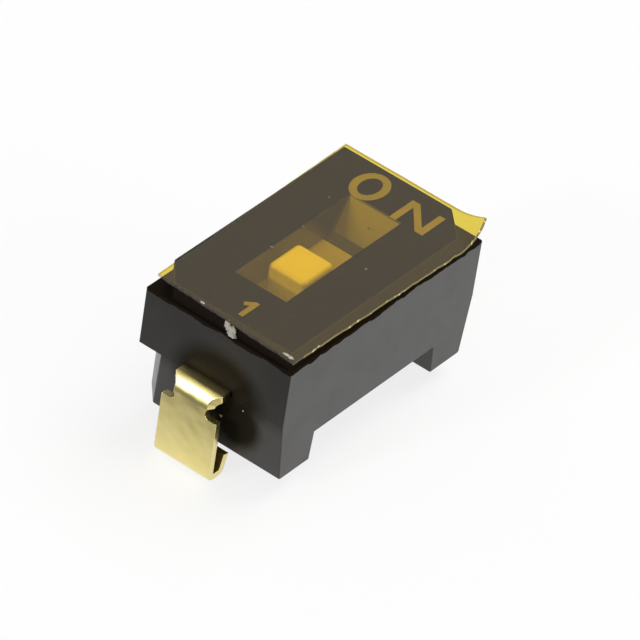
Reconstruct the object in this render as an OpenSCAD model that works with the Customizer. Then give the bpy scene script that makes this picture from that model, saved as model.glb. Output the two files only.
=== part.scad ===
// One-position surface-mount slide switch with hooked terminals and a seal tape over its slot.
// +Z is up from the solder plane, +Y points to the ON end, and X = 0, Y = 0 is the body's middle.

/* [Body] */
// Length of the body between its two end faces
body_l = 5.4; // [5.2:0.05:7]
// Width of the body
body_w = 3.2; // [3:0.05:5]
// Height of the feet above the solder plane
standoff = 0.38; // [0.3:0.01:0.6]
// Height of the base from its feet to the parting plane
base_h = 1.24; // [0.9:0.02:2]
// Height of the cover's side walls above the parting plane
cover_h = 1.21; // [1.15:0.02:1.8]
// Height of the raised deck above the shoulder of the side walls
deck_rise = 0.35; // [0.1:0.01:0.5]

/* [Base] */
// Length of each foot across the end of the base
foot_l = 0.975; // [0.5:0.025:1.4]
// Height of the clear space between the feet
notch_h = 0.59; // [0.3:0.01:0.7]
// Lean of the inner face of a foot
foot_lean = 0.045; // [0:0.005:0.15]
// Inward draft of each end face at its lower edge
end_draft = 0.137; // [0:0.005:0.2]
// Small bevel along the lower outer edge of each foot
foot_bevel = 0.03; // [0.02:0.01:0.2]
// Width of the cut corner that marks the first terminal
mark_x = 0.5; // [0.2:0.02:0.7]
// Length of the cut corner that marks the first terminal
mark_y = 0.56; // [0.2:0.02:0.6]
// Height of the two rails that guide the slider
rail_h = 0.3; // [0.2:0.01:0.4]
// Thickness of a guide rail
rail_t = 0.12; // [0.08:0.01:0.2]

/* [Cover] */
// Setback of the deck from the side faces
deck_in_x = 0.1; // [0.04:0.01:0.25]
// Setback of the deck from the end faces
deck_in_y = 0.08; // [0.04:0.01:0.25]
// Width of the deck's cut corner at the OFF end
deck_cut_x = 0.42; // [0.1:0.02:0.6]
// Length of the deck's cut corner at the OFF end
deck_cut_y = 0.5; // [0.1:0.02:0.6]
// Size of the deck's cut corner at the ON end
deck_cut_on = 0.58; // [0.4:0.02:0.75]
// Width of the slot in the deck
slot_w = 1.1; // [1:0.02:1.4]
// Length of the slot at the top of the deck
slot_l = 3.2; // [3:0.02:3.7]
// Run of the sloping ramp at each end of the slot
ramp_run = 0.36; // [0.2:0.02:0.45]
// Thickness of the roof under the deck's top
roof_t = 0.64; // [0.5:0.02:0.8]

/* [Slider] */
// Width of the knob
knob_w = 0.82; // [0.5:0.02:0.9]
// Length of the knob
knob_l = 0.86; // [0.5:0.01:0.9]
// Depth of the knob's top below the top of the deck
knob_drop = 0.09; // [0.05:0.01:0.3]
// Radius of the knob's edges
knob_r = 0.1; // [0.04:0.01:0.2]
// Width of the slider inside the body
slider_w = 1.9; // [1.7:0.02:2]
// Length of the slider's plate
plate_l = 2.92; // [2.9:0.02:3.1]
// Thickness of the slider's plate
plate_t = 0.3; // [0.2:0.01:0.35]
// Thickness of the slider's side skirts
skirt_t = 0.18; // [0.12:0.01:0.3]
// Travel of the slider from OFF to ON
travel = 0.92; // [0.9:0.01:1.1]

/* [Terminals] */
// Sideways offset of both terminals from the body's middle
pad_x = -0.06; // [-0.1:0.01:0.1]
// Thickness of the terminal sheet
sheet_t = 0.14; // [0.1:0.01:0.16]
// Width of the terminal inside the body
pad_w = 1.04; // [1:0.02:1.1]
// Length of the wide part outside the body
wide_out = 0.25; // [0.1:0.01:0.25]
// Width of the terminal where its bend ends
strip_w = 0.74; // [0.72:0.02:0.94]
// Width of the neck between the two notches
neck_w = 0.68; // [0.5:0.02:0.7]
// Width of the blade
blade_w = 1.22; // [1:0.02:1.5]
// Drop from the parting plane to the blade's shoulders
shoulder_drop = 0.31; // [0.24:0.01:0.4]
// Reach of the blade's outer face past the end face of the body
hook_reach = 0.46; // [0.42:0.01:0.8]
// Outer radius of the bend below the parting plane
bend_r = 0.26; // [0.2:0.01:0.3]
// Length of the hook under the blade
hook_l = 0.45; // [0.38:0.01:0.6]
// Outer radius of the hook's bends
hook_r = 0.16; // [0.16:0.005:0.18]
// Height of the hook's tip above the solder plane
tip_h = 0.44; // [0.25:0.01:0.5]
// Lean of the hook's tip towards the body
tip_lean = 14; // [0:1:20]
// Radius of the blade's two upper corners
blade_r = 0.03; // [0.02:0.01:0.08]

/* [Moving contact] */
// Thickness of the contact spring
spring_t = 0.08; // [0.05:0.01:0.1]
// Width of the contact spring
spring_w = 0.6; // [0.4:0.02:0.8]
// Gap between the two fingers of each arm
finger_gap = 0.12; // [0.06:0.02:0.2]
// Diameter of the slider's stud through the contact spring
stud_d = 0.28; // [0.2:0.02:0.36]
// Length of the stud below the contact spring
stud_l = 0.05; // [0.02:0.01:0.08]
// Distance from the slider's middle to each contact point
contact_reach = 0.95; // [0.85:0.01:1.1]
// Outer radius of a contact point
contact_r = 0.16; // [0.12:0.01:0.18]
// Lap of the moving contact on the OFF terminal when the switch is on
pad_lap = 0.24; // [0.15:0.01:0.3]
// Gap between the moving contact and the ON terminal when the switch is off
pad_gap = 0.18; // [0.12:0.01:0.25]

/* [Seal tape] */
// Thickness of the tape
tape_t = 0.06; // [0.03:0.01:0.1]
// Width of the tape in the middle of its length
tape_w = 3.25; // [3:0.05:5]
// Length of the tape along its middle
tape_l = 5.44; // [5.2:0.02:7]
// Sideways offset of the tape on the deck
tape_x = 0.16; // [-0.2:0.02:0.2]
// Lengthways offset of the tape on the deck
tape_y = -0.08; // [-0.2:0.02:0.1]
// Extra length of the roughly cut front edge on its right
tape_skew = 0.17; // [0:0.01:0.3]
// Extra width of the tape at the ON end
tape_flare = 0.1; // [0:0.01:0.3]
// Length of the loose corner from its fold to its tip
loose_l = 0.56; // [0.3:0.01:0.6]
// Angle through which the loose corner curls up
curl = 62; // [20:1:80]

/* [Clearances] */
// Running gap beside the slider
side_gap = 0.05; // [0.02:0.01:0.1]
// Running gap above and below the slider
slide_gap = 0.04; // [0.02:0.01:0.08]
// Gap between the slider and the end of the cavity at each stop
stop_gap = 0.05; // [0.02:0.01:0.1]
// Gap between the moving contact and the terminals
wipe_gap = 0.02; // [0.01:0.005:0.03]
// Gap between fixed pieces that fit into each other
fit_gap = 0.01; // [0.005:0.005:0.03]

/* [Hidden] */
$fn = 48;
past = 0.5;

end_y = body_l / 2;
side_x = body_w / 2;
under_z = standoff + notch_h;
part_z = standoff + base_h;
shoulder_z = part_z + cover_h;
deck_z = shoulder_z + deck_rise;
roof_z = deck_z - roof_t;
sheet_z = part_z + sheet_t;

deck_x = side_x - deck_in_x;
deck_y = end_y - deck_in_y;
cavity_x = slider_w / 2 + side_gap + rail_t + fit_gap;
cavity_y = plate_l / 2 + travel / 2 + stop_gap;

rest_y = -travel / 2;
plate_z = roof_z - slide_gap;
plate_under_z = plate_z - plate_t;
knob_z = deck_z - knob_drop;

off_pad_y = contact_reach - travel / 2 - pad_lap;
on_pad_y = contact_reach - travel / 2 + pad_gap;
blade_y = end_y + hook_reach;
blade_top = part_z - shoulder_drop;
bend_z = sheet_z - bend_r;
relief_r = (bend_z - blade_top) / 2;

// Draws a profile given as length and height, across a width centred on X
module across(width) {
    rotate([90, 0, 90])
        linear_extrude(width, center = true)
            children();
}

// Draws an outline given as width and height, along Y from one place to another
module lengthways(from_y, to_y) {
    translate([0, to_y, 0])
        rotate([90, 0, 0])
            linear_extrude(to_y - from_y)
                children();
}

// Flat ring between two radii, from one angle to the next, less than half a turn
module ring_part(outer, inner, from_a, to_a) {
    far = 2 * outer;
    mid_a = (from_a + to_a) / 2;
    intersection() {
        difference() {
            circle(outer);
            circle(inner);
        }
        polygon([
            [0, 0],
            [far * cos(from_a), far * sin(from_a)],
            [far * cos(mid_a), far * sin(mid_a)],
            [far * cos(to_a), far * sin(to_a)]
        ]);
    }
}

// Rectangle centred on X that stands on a height, with round upper corners
module round_top(width, from_z, to_z, radius) {
    translate([-width / 2, from_z])
        square([width, to_z - from_z - radius]);
    translate([-width / 2 + radius, from_z])
        square([width - 2 * radius, to_z - from_z]);
    for (side = [-1, 1])
        translate([side * (width / 2 - radius), to_z - radius])
            circle(radius);
}

// Rectangle centred on its middle with four round corners
module round_plan(width, length, radius) {
    square([width - 2 * radius, length], center = true);
    square([width, length - 2 * radius], center = true);
    for (side = [-1, 1], way = [-1, 1])
        translate([side * (width / 2 - radius), way * (length / 2 - radius)])
            circle(radius);
}

// Side view of the base: two feet with a clear space between, and drafted ends
module base_profile() {
    for (way = [-1, 1])
        scale([way, 1])
            polygon([
                [0, under_z],
                [end_y - foot_l - foot_lean, under_z],
                [end_y - foot_l, standoff],
                [end_y - end_draft - foot_bevel, standoff],
                [end_y - end_draft, standoff + foot_bevel],
                [end_y, part_z],
                [0, part_z]
            ]);
}

// Moulded base with its feet, the guide rails and the bridge between the two terminals
module base() {
    color("#35332f") {
        difference() {
            across(body_w)
                base_profile();
            translate([-side_x, -end_y, 0])
                linear_extrude(part_z + past)
                    polygon([[-past, -past], [mark_x, -past], [mark_x, 0], [0, mark_y], [-past, mark_y]]);
        }
        for (side = [-1, 1])
            translate([side * (slider_w / 2 + side_gap + rail_t / 2), 0, part_z])
                linear_extrude(rail_h)
                    square([rail_t, 2 * cavity_y - 2 * fit_gap], center = true);
        translate([pad_x - pad_w / 2, -off_pad_y + fit_gap, part_z])
            cube([pad_w, off_pad_y + on_pad_y - 2 * fit_gap, sheet_t]);
    }
}

// Plan of the raised deck, with two opposite corners cut off
module deck_plan() {
    polygon([
        [-deck_x + deck_cut_x, -deck_y],
        [deck_x, -deck_y],
        [deck_x, deck_y - deck_cut_on],
        [deck_x - deck_cut_on, deck_y],
        [-deck_x, deck_y],
        [-deck_x, -deck_y + deck_cut_y]
    ]);
}

// Side view of the slot, with a ramp at each end
module slot_profile() {
    run = ramp_run / roof_t;
    top = slot_l / 2;
    foot = top - ramp_run;
    polygon([
        [-foot + run * past, roof_z - past],
        [foot - run * past, roof_z - past],
        [top + run * past, deck_z + past],
        [-top - run * past, deck_z + past]
    ]);
}

// Moulded cover with its shoulder, deck, slot, cavity and the openings for the terminals
module cover() {
    color("#3a3733")
        difference() {
            union() {
                translate([-side_x, -end_y, part_z])
                    cube([body_w, body_l, cover_h]);
                translate([0, 0, part_z])
                    linear_extrude(deck_z - part_z)
                        deck_plan();
            }
            translate([-cavity_x, -cavity_y, part_z - past])
                cube([2 * cavity_x, 2 * cavity_y, roof_z - part_z + past]);
            across(slot_w)
                slot_profile();
            translate([pad_x - pad_w / 2 - fit_gap, -end_y - past, part_z - past])
                cube([pad_w + 2 * fit_gap, body_l + 2 * past, sheet_t + fit_gap + past]);
        }
}

// Plan of a terminal, wide from its pad to the bend and then tapered to the narrow strip
module terminal_plan(pad_y) {
    wide_y = end_y + wide_out;
    taper = (pad_w - strip_w) / 2;
    polygon([
        [-pad_w / 2, pad_y],
        [pad_w / 2, pad_y],
        [pad_w / 2, wide_y],
        [strip_w / 2, wide_y + taper],
        [strip_w / 2, blade_y],
        [-strip_w / 2, blade_y],
        [-strip_w / 2, wide_y + taper],
        [-pad_w / 2, wide_y]
    ]);
}

// Side view of a terminal from its pad to the end of the bend
module strip_profile(pad_y) {
    translate([pad_y, part_z])
        square([blade_y - bend_r - pad_y, sheet_t]);
    translate([blade_y - bend_r, bend_z])
        ring_part(bend_r, bend_r - sheet_t, 0, 90);
}

// End view of the upright part of a terminal: a neck between two notches above the wide blade
module blade_front() {
    difference() {
        union() {
            translate([-strip_w / 2, hook_r])
                square([strip_w, bend_z - hook_r]);
            translate([-neck_w / 2 - relief_r, hook_r])
                square([neck_w + 2 * relief_r, blade_top + relief_r - hook_r]);
            round_top(blade_w, hook_r, blade_top, blade_r);
        }
        for (side = [-1, 1])
            translate([side * (neck_w / 2 + relief_r), blade_top + relief_r]) {
                circle(relief_r);
                translate([side * blade_w / 2, 0])
                    square([blade_w, 2 * relief_r], center = true);
            }
    }
}

// Side view of the hook that is soldered down, with its tip leaning to the body
module hook_profile() {
    tail_y = blade_y - hook_l + hook_r;
    translate([blade_y - hook_r, hook_r])
        ring_part(hook_r, hook_r - sheet_t, -90, 0);
    translate([tail_y, 0])
        square([hook_l - 2 * hook_r, sheet_t]);
    translate([tail_y, hook_r]) {
        ring_part(hook_r, hook_r - sheet_t, -180 + tip_lean, -90);
        rotate(tip_lean)
            translate([-hook_r, 0])
                square([sheet_t, (tip_h - hook_r) / cos(tip_lean)]);
    }
}

// Stamped and formed terminal towards +Y, with its pad ending at a distance from the middle
module terminal(pad_y) {
    color("#c9b56c") {
        intersection() {
            linear_extrude(sheet_z + past)
                terminal_plan(pad_y);
            across(pad_w + past)
                strip_profile(pad_y);
        }
        lengthways(blade_y - sheet_t, blade_y)
            blade_front();
        across(blade_w)
            hook_profile();
    }
}

// Terminal at the OFF end, always touched by the moving contact
module terminal_off() {
    translate([pad_x, 0, 0])
        rotate([0, 0, 180])
            terminal(off_pad_y);
}

// Terminal at the ON end, reached by the moving contact when the switch is on
module terminal_on() {
    translate([pad_x, 0, 0])
        terminal(on_pad_y);
}

// Knob with round edges all round its top and at its four corners
module knob() {
    intersection() {
        translate([0, 0, plate_z - fit_gap])
            linear_extrude(knob_z - plate_z + past)
                round_plan(knob_w, knob_l, knob_r);
        across(2 * knob_w)
            round_top(knob_l, plate_z - past, knob_z, knob_r);
        lengthways(-knob_l, knob_l)
            round_top(knob_w, plate_z - past, knob_z, knob_r);
    }
}

// Moulded slider: knob, plate, side skirts and the stud that holds the contact spring
module slider() {
    skirt_z = part_z + slide_gap;
    stud_z = plate_under_z - spring_t - stud_l;
    color("#efe9da")
        translate([0, rest_y, 0]) {
            knob();
            translate([-slider_w / 2, -plate_l / 2, plate_under_z])
                cube([slider_w, plate_l, plate_t]);
            for (side = [-1, 1])
                translate([side * (slider_w - skirt_t) / 2, 0, skirt_z])
                    linear_extrude(plate_z - skirt_z)
                        square([skirt_t, plate_l], center = true);
            translate([0, 0, stud_z])
                cylinder(h = plate_z - stud_z, d = stud_d);
        }
}

// Side view of one half of the contact spring, from its middle out to a contact point
module spring_half_profile() {
    seat_y = contact_reach / 2;
    seat_z = plate_under_z - spring_t / 2;
    point_z = sheet_z + wipe_gap + contact_r;
    span = norm([contact_reach - seat_y, seat_z - point_z]);
    rise = atan2(seat_z - point_z, contact_reach - seat_y);
    lean = rise + asin((contact_r - spring_t / 2) / span);
    arm_l = span * cos(lean - rise);
    translate([0, seat_z - spring_t / 2])
        square([seat_y, spring_t]);
    translate([seat_y, seat_z])
        circle(spring_t / 2);
    translate([contact_reach, point_z]) {
        rotate(-lean)
            translate([-arm_l, -contact_r])
                square([arm_l, spring_t]);
        ring_part(contact_r, contact_r - spring_t, -90 - lean, -lean / 2);
    }
}

// Formed contact spring under the slider, with a stud hole and two fingers on each arm
module moving_contact() {
    color("#d8c27a")
        translate([0, rest_y, 0])
            difference() {
                across(spring_w)
                    for (way = [-1, 1])
                        scale([way, 1])
                            spring_half_profile();
                for (way = [0, 1])
                    mirror([0, way, 0])
                        translate([-finger_gap / 2, contact_reach / 2, 0])
                            cube([finger_gap, plate_l, deck_z]);
                translate([0, 0, part_z])
                    cylinder(h = deck_z, d = stud_d + 2 * fit_gap);
            }
}

// Film over the deck, roughly cut, with one corner curled up past the deck's cut corner
module seal_tape() {
    front_y = tape_y - tape_l / 2;
    back_y = tape_y + tape_l / 2;
    right_on = tape_x + tape_w / 2 + tape_flare / 2;
    fold = deck_x + deck_y - deck_cut_on;
    fold_half = (right_on + back_y - fold) / sqrt(2);
    curl_r = loose_l * 360 / (2 * PI * curl);
    color("#c78f2b", 0.6) {
        translate([0, 0, deck_z])
            linear_extrude(tape_t)
                polygon([
                    [tape_x - tape_w / 2 + tape_flare / 2, front_y + tape_skew / 2],
                    [tape_x + tape_w / 2 - tape_flare / 2, front_y - tape_skew / 2],
                    [right_on, fold - right_on],
                    [fold - back_y, back_y],
                    [tape_x - tape_w / 2 - tape_flare / 2, back_y]
                ]);
        translate([(fold + right_on - back_y) / 2, (fold - right_on + back_y) / 2, 0])
            rotate([0, 0, -45])
                intersection() {
                    across(2 * fold_half)
                        translate([0, deck_z + tape_t + curl_r])
                            ring_part(curl_r + tape_t, curl_r, -90, -90 + curl);
                    linear_extrude(deck_z + 2 * curl_r)
                        polygon([[-fold_half, 0], [fold_half, 0], [0, curl_r * sin(curl)]]);
                }
    }
}

cover();
base();
terminal_off();
terminal_on();
slider();
moving_contact();
seal_tape();
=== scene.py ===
import math

import bmesh
import bpy
from mathutils import Matrix, Vector, noise


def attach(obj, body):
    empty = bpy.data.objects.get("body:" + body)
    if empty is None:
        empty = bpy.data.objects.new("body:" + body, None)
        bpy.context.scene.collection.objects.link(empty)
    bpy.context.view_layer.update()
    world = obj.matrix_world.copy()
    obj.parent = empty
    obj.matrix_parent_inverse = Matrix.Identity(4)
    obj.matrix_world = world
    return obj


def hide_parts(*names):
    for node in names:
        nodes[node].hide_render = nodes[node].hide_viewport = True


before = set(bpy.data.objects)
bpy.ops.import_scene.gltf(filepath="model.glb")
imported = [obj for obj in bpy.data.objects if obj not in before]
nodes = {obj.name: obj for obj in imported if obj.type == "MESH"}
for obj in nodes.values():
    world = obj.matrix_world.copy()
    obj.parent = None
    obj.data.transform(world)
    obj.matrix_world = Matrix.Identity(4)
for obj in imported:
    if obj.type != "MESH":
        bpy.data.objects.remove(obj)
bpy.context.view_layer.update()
MM = 0.001

# Camera
# A long lens looks down at the OFF end and the right-hand long side.
# The part stands a few degrees aslant in the picture, so the camera is rolled.
VIEW_AZIMUTH, VIEW_ELEVATION, VIEW_ROLL = (math.radians(a) for a in (32.7416, 38.1786, 9.1796))
VIEW_DISTANCE, VIEW_RIGHT, VIEW_UP = 119.0227 * MM, 0.3724 * MM, 0.9211 * MM
FEET_Z = 0.38 * MM
SENSOR_WIDTH, FOCAL_LENGTH = 36, 382.032

away = Vector((math.sin(VIEW_AZIMUTH) * math.cos(VIEW_ELEVATION),
               -math.cos(VIEW_AZIMUTH) * math.cos(VIEW_ELEVATION),
               math.sin(VIEW_ELEVATION)))
level = Vector((math.cos(VIEW_AZIMUTH), math.sin(VIEW_AZIMUTH), 0))
upright = away.cross(level)
right = level * math.cos(VIEW_ROLL) + upright * math.sin(VIEW_ROLL)
up = upright * math.cos(VIEW_ROLL) - level * math.sin(VIEW_ROLL)
lens = bpy.data.cameras.new("photo_lens")
lens.sensor_width = SENSOR_WIDTH
lens.lens = FOCAL_LENGTH
lens.clip_start, lens.clip_end = 0.01, 10
camera = bpy.data.objects.new("photo_camera", lens)
bpy.context.collection.objects.link(camera)
place = Matrix((right, up, away)).transposed().to_4x4()
place.translation = Vector((0, 0, FEET_Z)) + away * VIEW_DISTANCE + right * VIEW_RIGHT + up * VIEW_UP
camera.matrix_world = place
bpy.context.scene.camera = camera
bpy.context.scene.view_settings.view_transform = "Standard"


# Studio
# A white table top runs on past the picture inside a white tent, which gives soft light from all sides.
# A soft box above, one on the right and a small lamp in front give the shape its light and shade.
# A card on the left is there only for mirror-like surfaces, which also see the table's front end in shade.
def linear(code):
    """Linear red, green and blue of an sRGB hex colour."""
    parts = [int(code[i:i + 2], 16) / 255 for i in (1, 3, 5)]
    return tuple(c / 12.92 if c <= 0.04045 else ((c + 0.055) / 1.055) ** 2.4 for c in parts)


def rgba(code):
    return (*linear(code), 1)


def node(tree, kind, operation=None, settings=None, **links):
    """Adds a node. The settings are its properties. The links set its inputs by name or number, or join
    them to a socket or to a node's first output."""
    made = tree.nodes.new(kind)
    if operation:
        made.operation = operation
    for name, value in (settings or {}).items():
        setattr(made, name, value)
    for name, value in links.items():
        key = int(name[1:]) if name[0] == "i" and name[1:].isdigit() else name.replace("_", " ")
        socket = made.inputs[key]
        if isinstance(value, bpy.types.Node):
            value = value.outputs[0]
        if isinstance(value, bpy.types.NodeSocket):
            tree.links.new(value, socket)
        else:
            socket.default_value = value
    return made


def blank(name):
    """A material with an empty node tree and its output node."""
    made = bpy.data.materials.new(name)
    made.use_nodes = True
    made.node_tree.nodes.clear()
    return made, made.node_tree, node(made.node_tree, "ShaderNodeOutputMaterial")


# The tent's cloth lights the part at half strength, and reads as plain white where it is seen or mirrored.
TENT_LIGHT = 0.5
tent = bpy.data.worlds.new("white_tent")
bpy.context.scene.world = tent
tent.cycles.sampling_method = "NONE"
tent.use_nodes = True
tree = tent.node_tree
tree.nodes.clear()
path = node(tree, "ShaderNodeLightPath").outputs
direct = node(tree, "ShaderNodeMath", "MAXIMUM", i0=path["Is Camera Ray"],
              i1=path["Is Transmission Ray"])
seen = node(tree, "ShaderNodeMath", "MAXIMUM", i0=direct, i1=path["Is Glossy Ray"])
strength = node(tree, "ShaderNodeMapRange", Value=seen, To_Min=TENT_LIGHT, To_Max=1.0)
sky = node(tree, "ShaderNodeBackground", Color=rgba("#ffffff"), Strength=strength.outputs[0])
node(tree, "ShaderNodeOutputWorld", Surface=sky.outputs[0])

# The table is matt white laminate, without gloss. It glows for the camera, so it reads as plain white,
# and the fifth that doesn't glow keeps the part's soft shadow.
TABLE_HALF, GLOW_SHARE = 150 * MM, 0.8
SHADE_FROM, SHADE_TO, SHADE_LEVEL, SHADE_SLANT = -5.2 * MM, -3.3 * MM, 0.06, 0.08
table_paint, tree, out = blank("white_table_laminate")
table_paint.cycles.emission_sampling = "NONE"
path = node(tree, "ShaderNodeLightPath").outputs
where = node(tree, "ShaderNodeTexCoord").outputs["Object"]
place = node(tree, "ShaderNodeSeparateXYZ", Vector=where).outputs
slanted = node(tree, "ShaderNodeMath", "MULTIPLY", i0=place["X"], i1=SHADE_SLANT)
along = node(tree, "ShaderNodeMath", "SUBTRACT", i0=place["Y"], i1=slanted)
shaded = node(tree, "ShaderNodeMapRange", Value=along, From_Min=SHADE_FROM, From_Max=SHADE_TO,
              To_Min=SHADE_LEVEL)
direct = node(tree, "ShaderNodeMath", "MAXIMUM", i0=path["Is Camera Ray"],
              i1=path["Is Transmission Ray"])
mirrored = node(tree, "ShaderNodeMath", "MULTIPLY", i0=path["Is Glossy Ray"], i1=shaded.outputs[0])
seen = node(tree, "ShaderNodeMath", "MAXIMUM", i0=direct, i1=path["Is Glossy Ray"])
share = node(tree, "ShaderNodeMath", "MULTIPLY", i0=seen, i1=GLOW_SHARE)
brightness = node(tree, "ShaderNodeMath", "MAXIMUM", i0=direct, i1=mirrored)
diffuse = node(tree, "ShaderNodeBsdfDiffuse", Color=rgba("#ececec"))
glow = node(tree, "ShaderNodeEmission", Color=rgba("#ffffff"), Strength=brightness)
laminate = node(tree, "ShaderNodeMixShader", i0=share, i1=diffuse, i2=glow)
tree.links.new(laminate.outputs[0], out.inputs["Surface"])
bm = bmesh.new()
bmesh.ops.create_grid(bm, x_segments=1, y_segments=1, size=TABLE_HALF)
table_mesh = bpy.data.meshes.new("table_top")
bm.to_mesh(table_mesh)
bm.free()
table_mesh.materials.append(table_paint)
table = bpy.data.objects.new("table_top", table_mesh)
bpy.context.collection.objects.link(table)

LAMP_DISTANCE = 0.26


def soft_box(name, towards, width, height, radiance):
    """A rectangular lamp of even radiance, on a line from the part, that faces it."""
    lamp = bpy.data.lights.new(name, "AREA")
    lamp.shape = "RECTANGLE"
    lamp.size, lamp.size_y = width, height
    lamp.energy = radiance * math.pi * width * height
    holder = bpy.data.objects.new(name, lamp)
    bpy.context.collection.objects.link(holder)
    line = Vector(towards).normalized()
    turned = line.to_track_quat("Z", "Y").to_matrix().to_4x4()
    holder.matrix_world = Matrix.Translation(line * LAMP_DISTANCE) @ turned
    return holder


soft_box("overhead_box", towards=(0.15, 0.55, 1), width=0.16, height=0.16, radiance=4.9)
soft_box("right_box", towards=(1, 0.25, 0.45), width=0.12, height=0.10, radiance=3.2)
soft_box("front_lamp", towards=(-0.2, -0.86, 0.46), width=0.03, height=0.02, radiance=90)
card = soft_box("left_card", towards=(-0.36, -0.64, 0.62), width=0.17, height=0.17, radiance=11.5)
card.visible_diffuse = False


# Housing: cover and base
# Two halves moulded in black glass-filled nylon, joined at one flat plane round the terminals.
# Every edge has the small radius that the mould leaves. The end faces are duller than the sides,
# and the end face round the OFF terminal carries painted shade and a painted brown reflection of the gold.
PART_Z, DECK_Z, RIM_Z, DECK_HALF_Y, SHEET = 1.62, 3.18, 2.77, 2.63, 0.14
SLOT_HALF_X, SLOT_HALF_Y, RAMP_HALF_X, RAMP_FOOT_Y, END_FROM_Y = 0.56, 1.62, 0.545, 1.2, 2.4
COVER_EDGE_R, BASE_EDGE_R, JOINT_EDGE_R = 0.022, 0.026, 0.0015
ROOM_OVER_SHEET, HAIR = 0.02, 0.0005
FLAT_ANGLE, EDGE_ANGLE = math.radians(0.5), math.radians(25)


def clean_copy(name, source, edge):
    """A copy of a CAD node with whole flat faces and rounded edges, finer at the joint, where the room
    that the solid leaves over the terminal sheet is closed to a hair. Sizes are in millimetres."""
    mesh = source.data.copy()
    mesh.name = name
    mesh.transform(Matrix.Scale(1 / MM, 4))
    bm = bmesh.new()
    bm.from_mesh(mesh)
    bmesh.ops.remove_doubles(bm, verts=bm.verts, dist=HAIR)
    for v in bm.verts:
        if 0 < v.co.z - PART_Z - SHEET < ROOM_OVER_SHEET:
            v.co.z = PART_Z + SHEET + HAIR
    bmesh.ops.dissolve_limit(bm, angle_limit=FLAT_ANGLE, verts=bm.verts, edges=bm.edges)
    weight = bm.edges.layers.float.new("bevel_weight_edge")
    for e in bm.edges:
        if e.calc_face_angle(0) > EDGE_ANGLE:
            at_joint = all(-0.001 < v.co.z - PART_Z < SHEET + ROOM_OVER_SHEET for v in e.verts)
            e[weight] = JOINT_EDGE_R / edge if at_joint else 1
    for face in bm.faces:
        face.smooth = True
    bm.to_mesh(mesh)
    bm.free()
    piece = bpy.data.objects.new(name, mesh)
    bpy.context.collection.objects.link(piece)
    rounding = piece.modifiers.new("mould_radius", "BEVEL")
    rounding.width = edge
    rounding.segments = 2
    rounding.limit_method = "WEIGHT"
    piece.modifiers.new("even_normals", "WEIGHTED_NORMAL").keep_sharp = True
    return settle(piece)


def settle(piece):
    """Turns a piece's modifiers into a plain mesh and brings it from millimetres to metres."""
    bpy.context.view_layer.update()
    done = bpy.data.meshes.new_from_object(piece.evaluated_get(bpy.context.evaluated_depsgraph_get()))
    piece.modifiers.clear()
    done.transform(Matrix.Scale(MM, 4))
    old = piece.data
    name = old.name
    piece.data = done
    bpy.data.meshes.remove(old)
    done.name = name
    return piece


def dress(piece, *materials):
    piece.data.materials.clear()
    for material in materials:
        piece.data.materials.append(material)


CLOUD, GRAIN_DEPTH = 0.55, 0.004


def textured(name, shade, tint, roughness, spread, grain, bump):
    """Moulded or printed surface: a fine grain, and faint cloudy differences in colour and gloss."""
    material, tree, out = blank(name)
    where = node(tree, "ShaderNodeTexCoord").outputs["Object"]
    fine = node(tree, "ShaderNodeTexNoise", Vector=where, Scale=1 / (grain * MM), Detail=4.0,
                Roughness=0.6)
    cloud = node(tree, "ShaderNodeTexNoise", Vector=where, Scale=1 / (CLOUD * MM), Detail=3.0,
                 Roughness=0.55)
    colour = node(tree, "ShaderNodeMixRGB", i0=cloud.outputs["Fac"], i1=rgba(shade),
                  i2=rgba(tint)).outputs[0]
    gloss = node(tree, "ShaderNodeMapRange", Value=cloud.outputs["Fac"], From_Min=0.3, From_Max=0.7,
                 To_Min=roughness - spread, To_Max=roughness + spread).outputs[0]
    relief = node(tree, "ShaderNodeBump", Height=fine.outputs["Fac"], Strength=bump,
                  Distance=GRAIN_DEPTH * MM)
    body = node(tree, "ShaderNodeBsdfPrincipled", Base_Color=colour, Roughness=gloss,
                Normal=relief.outputs[0])
    tree.links.new(body.outputs[0], out.inputs["Surface"])
    return material, tree, body, where, colour


def below(tree, value, limit):
    return node(tree, "ShaderNodeMath", "LESS_THAN", i0=value, i1=limit * MM)


def within(tree, place, half_x, half_y):
    """One inside a rectangle round the middle of the deck, and nothing outside it."""
    x, y = (node(tree, "ShaderNodeMath", "ABSOLUTE", i0=place.outputs[axis], i1=0.0) for axis in "XY")
    near_x, near_y = below(tree, x, half_x), below(tree, y, half_y)
    return node(tree, "ShaderNodeMath", "MULTIPLY", i0=near_x, i1=near_y)


# The nylon is black with a soft sheen. The glass in it leaves a fine grain, which is really about
# 0.01 mm and is drawn at 0.03 mm so that it shows.
PLASTIC_BUMP, COVERED_BUMP = 0.35, 0.3
housing_plastic, tree, body, where, colour = textured(
    "black_glass_filled_nylon_moulded", "#23211f", "#2c2a28", roughness=0.34, spread=0.05, grain=0.03,
    bump=PLASTIC_BUMP)
place = node(tree, "ShaderNodeSeparateXYZ", Vector=where)
under_deck = below(tree, place.outputs["Z"], DECK_Z - 0.02)
under_film = node(tree, "ShaderNodeMath", "SUBTRACT", i0=1.0, i1=under_deck)

# The slot's floor and walls are painted a little paler than the rest, and its ramps far paler, as painted
# light where the light falls into the slot.
in_slot = node(tree, "ShaderNodeMath", "MULTIPLY", i0=within(tree, place, SLOT_HALF_X, SLOT_HALF_Y),
               i1=under_deck)
on_ramp = node(tree, "ShaderNodeMath", "MULTIPLY", i0=within(tree, place, RAMP_HALF_X, SLOT_HALF_Y),
               i1=under_deck)
before_ramp = within(tree, place, RAMP_HALF_X, RAMP_FOOT_Y)
on_ramp = node(tree, "ShaderNodeMath", "SUBTRACT", {"use_clamp": True}, i0=on_ramp, i1=before_ramp)
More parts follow.
